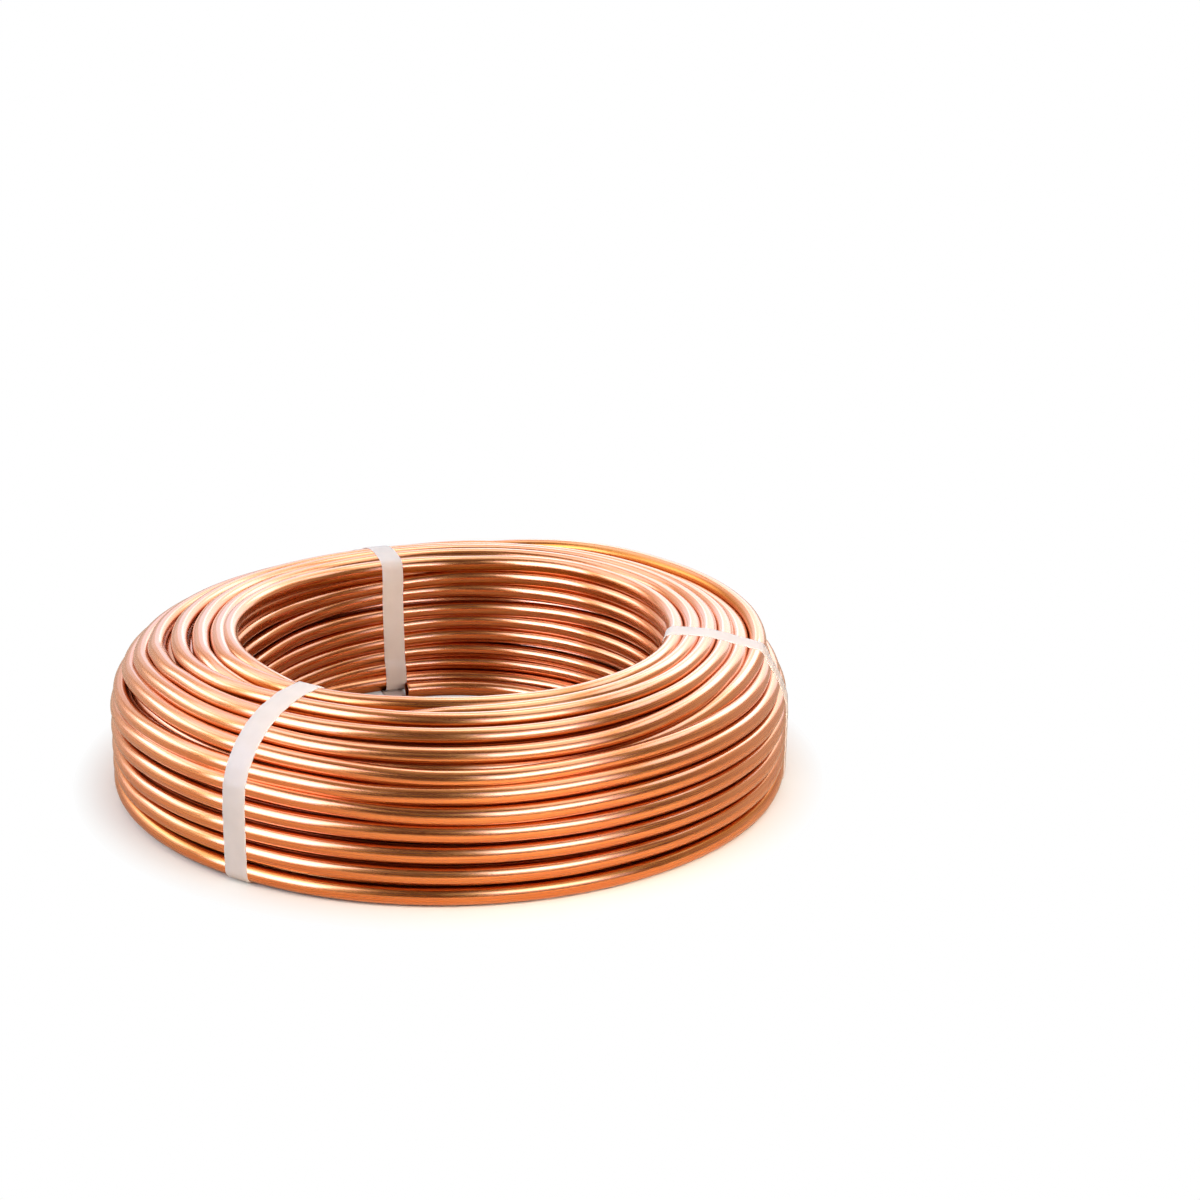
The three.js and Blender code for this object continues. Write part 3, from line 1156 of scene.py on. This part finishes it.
@dataclass(frozen=True)
class SoftWall:
    """A wall of soft light round part of the coil, made of flat panels that face it.

    Each panel is two lamps: one for matt surfaces, and one that only metal and gloss mirror.
    The matt one lies a little further off, because lamps in one plane hide each other.
    """

    name: str
    azimuths: Span
    elevations: Span
    radiance: float
    panels: int = 1
    distance: float = 1.8
    gloss: Colour = PANEL_GLOSS
    matt: Colour = WHITE
    apart: float = 0.01
    target: Point = (0.0, 0.0, 0.04)

    def build(self) -> None:
        """Makes the panels, each a rectangular lamp of the wall's radiance."""
        (start, end), (low, high) = self.azimuths, self.elevations
        arc = (end - start) / self.panels
        width = 2 * self.distance * math.tan(math.radians(arc / 2))
        height = 2 * self.distance * math.tan(math.radians((high - low) / 2))
        e = math.radians((low + high) / 2)
        uses = (("matt", self.matt, self.apart), ("gloss", self.gloss, 0.0))
        for i, (use, colour, further) in product(range(self.panels), uses):
            a = math.radians(start + arc * (i + 0.5))
            lamp = bpy.data.lights.new(f"{self.name}_{i + 1}_{use}", "AREA")
            lamp.shape = "RECTANGLE"
            lamp.size, lamp.size_y = width, height
            lamp.energy = self.radiance * math.pi * width * height
            lamp.color = colour
            made = linked(lamp.name, lamp)
            away = Vector((math.cos(e) * math.cos(a), math.cos(e) * math.sin(a), math.sin(e)))
            made.location = Vector(self.target) + away * (self.distance + further)
            made.rotation_euler = (-away).to_track_quat("-Z", "Y").to_euler()
            made.visible_camera = False
            made.visible_diffuse = use == "matt"
            made.visible_glossy = use == "gloss"


@dataclass(frozen=True)
class Camera:
    """The camera: its place, its downward pitch, its roll and its lens."""

    place: Point = (0.08129, -1.13243, 0.47876)
    pitch: float = 18.650
    roll: float = 0.911
    lens: float = 65.51
    sensor: float = 36.0
    clip: Span = (0.01, 100.0)

    def build(self) -> None:
        """Makes the camera and sets it as the scene's."""
        data = bpy.data.cameras.new("camera")
        data.lens, data.sensor_width = self.lens, self.sensor
        data.clip_start, data.clip_end = self.clip
        made = linked("camera", data)
        p, q = math.radians(self.pitch), math.radians(self.roll)
        right = Vector((1.0, 0.0, 0.0))
        ahead = Vector((0.0, math.cos(p), -math.sin(p)))
        down = Vector((0.0, -math.sin(p), -math.cos(p)))
        rolled_right = math.cos(q) * right - math.sin(q) * down
        rolled_down = math.sin(q) * right + math.cos(q) * down
        axes = Matrix((rolled_right, -rolled_down, -ahead)).transposed()
        made.matrix_world = Matrix.Translation(self.place) @ axes.to_4x4()
        bpy.context.scene.camera = made


@dataclass(frozen=True)
class Studio:
    """Floor, world and walls of light.

    The world goes from front to back over turn_reach. In mirror images some white is mixed into
    its back: a share that goes over white_heights from one of white_shares to the other.
    """

    floor_radius: float = 12.0
    floor_sides: int = 96
    back: Colour = (0.50, 0.41, 0.32)
    front: Colour = (0.09, 0.05, 0.03)
    turn_reach: Span = (-0.35, 0.45)
    white_heights: Span = (0.15, 0.55)
    white_shares: Span = (0.22, 0.2)
    walls: tuple[SoftWall, ...] = (
        SoftWall("soft_back", (50, 94), (5, 48), 1.15),
        SoftWall("soft_back_core", (42, 72), (27, 40), 1.9, 1, 1.7, CORE_GLOSS),
        SoftWall("soft_back_right", (10, 42), (40, 56), 1.8, 1, 1.7, CORE_GLOSS),
        SoftWall("soft_back_left", (90, 128), (8, 36), 0.35),
        SoftWall("soft_back_left_core", (90, 113), (11, 26), 0.5, 1, 1.7, CORE_GLOSS, DIM_MATT),
        SoftWall("soft_high_left", (118, 162), (38, 58), 1.2, 1, 1.8, CORE_GLOSS, DIM_MATT),
        SoftWall("soft_over", (82, 126), (58, 74), 1.6, 1, 1.7, CORE_GLOSS, DIM_MATT),
        SoftWall("soft_left", (142, 184), (5, 44), 0.78),
        SoftWall("soft_left_core", (147, 179), (16, 32), 2.6, 1, 1.8, CORE_GLOSS),
        SoftWall("soft_front_left", (194, 234), (2, 50), 2.7, 1, 1.8, ROSY_GLOSS, SOFT_MATT),
        SoftWall("soft_front_left_core", (196, 231), (15, 32), 4.0, 1, 1.8, CORE_GLOSS, SOFT_MATT),
        SoftWall("soft_right", (283, 326), (6, 46), 0.78, 2, 0.75, ROSY_GLOSS, WARM_MATT),
        SoftWall("soft_right_core", (285, 314), (12, 29), 3.7, 2, 0.46, CORE_GLOSS, FILL_MATT),
        SoftWall("soft_top", (5, 55), (62, 84), 1.6, 1, 1.8, PANEL_GLOSS, DIM_MATT),
    )

    def build_floor(self) -> None:
        """Makes the floor: one flat disc, wide enough to reach past the frame."""
        angle = np.linspace(0, 2 * np.pi, self.floor_sides, endpoint=False)
        rim = np.stack((np.cos(angle), np.sin(angle), np.zeros_like(angle)), axis=-1)
        mesh = bpy.data.meshes.new("floor")
        rows = (rim * self.floor_radius).tolist()
        mesh.from_pydata(rows, [], [list(range(self.floor_sides))])
        mesh.materials.append(FloorFinish().material())
        made = linked("floor", mesh)

    def build_world(self) -> None:
        """Makes the world: a bright back and a dim front, and plain white where it shows."""
        world = bpy.data.worlds.new("studio")
        bpy.context.scene.world = world
        nodes = NodeTree(world)
        direction = nodes.add("ShaderNodeTexCoord").outputs["Generated"]
        way = nodes.add("ShaderNodeSeparateXYZ", {"Vector": direction}).outputs
        behind = nodes.mapped_range(way["Y"], self.turn_reach, (0.0, 1.0))
        pale = nodes.mapped_range(way["Z"], self.white_heights, self.white_shares)
        sky = nodes.ramp(behind, (0.0, self.front), (1.0, self.back))
        room = nodes.add("ShaderNodeBackground", {"Color": sky, "Strength": 1.0})
        white = nodes.add("ShaderNodeBackground", {"Color": (*WHITE, 1.0)})
        path = nodes.add("ShaderNodeLightPath").outputs
        through = nodes.calc("MAXIMUM", path["Is Glossy Ray"], path["Is Transmission Ray"])
        mirrored = nodes.calc("MULTIPLY", through, nodes.calc("MULTIPLY", behind, pale))
        share = nodes.calc("MAXIMUM", path["Is Camera Ray"], mirrored)
        nodes.add("ShaderNodeOutputWorld", {"Surface": nodes.mixed(share, room, white)})

    def build(self) -> None:
        """Makes the whole studio."""
        self.build_floor()
        self.build_world()
        for wall in self.walls:
            wall.build()
        bpy.context.scene.view_settings.view_transform = "Standard"


# --- The whole coil ---


def dress(piece: Object, material: bpy.types.Material) -> None:
    """Gives a piece its material and its body, and reports it.

    Args:
        piece: The piece.
        material: Its material.
    """
    piece.data.materials.append(material)
    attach(piece, BODY)
    LOG.info("%s: %d faces", piece.name, len(piece.data.polygons))


@dataclass
class CopperCoil:
    """The coil: the winding, the two open ends of the tube and the straps."""

    winding: Winding = field(default_factory=Winding)

    def build(self) -> None:
        """Builds and dresses every piece. The straps don't show in the copper beside them."""
        copper = CopperFinish("drawn_copper").material()
        # Painted shade: the layer beneath, seen only in the gaps, gets a darker copy of the copper
        # for the shade it lies in.
        inner = CopperFinish("copper_painted_shade", pale=(0.84, 0.25, 0.05), deep=(0.74, 0.18, 0.03))
        plastic = StrapFinish().material()
        for run in self.winding.outer_turns():
            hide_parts("tube_coil")
            dress(run, copper)
        dress(self.winding.inner_turns(), inner.material())
        wrap = LastWrap(self.winding, "last_wrap", first=240.0, last=484.0)
        for end in (wrap, FirstEnd(self.winding, "first_end", first=20.0, last=110.3)):
            dress(end.build(), copper)
        for strap in (
            Strap(self.winding, "strap_front_left_band", 239.1, wrap, width=0.0138),
            Strap(self.winding, "strap_back_left_band", 111.6, wrap, tail=True),
            Strap(self.winding, "strap_right_band", 352.5, wrap),
        ):
            pieces = strap.build()
            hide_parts(strap.name.removesuffix("_band"))
            for piece in pieces:
                piece.visible_glossy = False
                dress(piece, plastic)


def main() -> None:
    """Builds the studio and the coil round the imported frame."""
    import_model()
    Camera().build()
    Studio().build()
    CopperCoil().build()


if __name__ == "__main__":
    main()
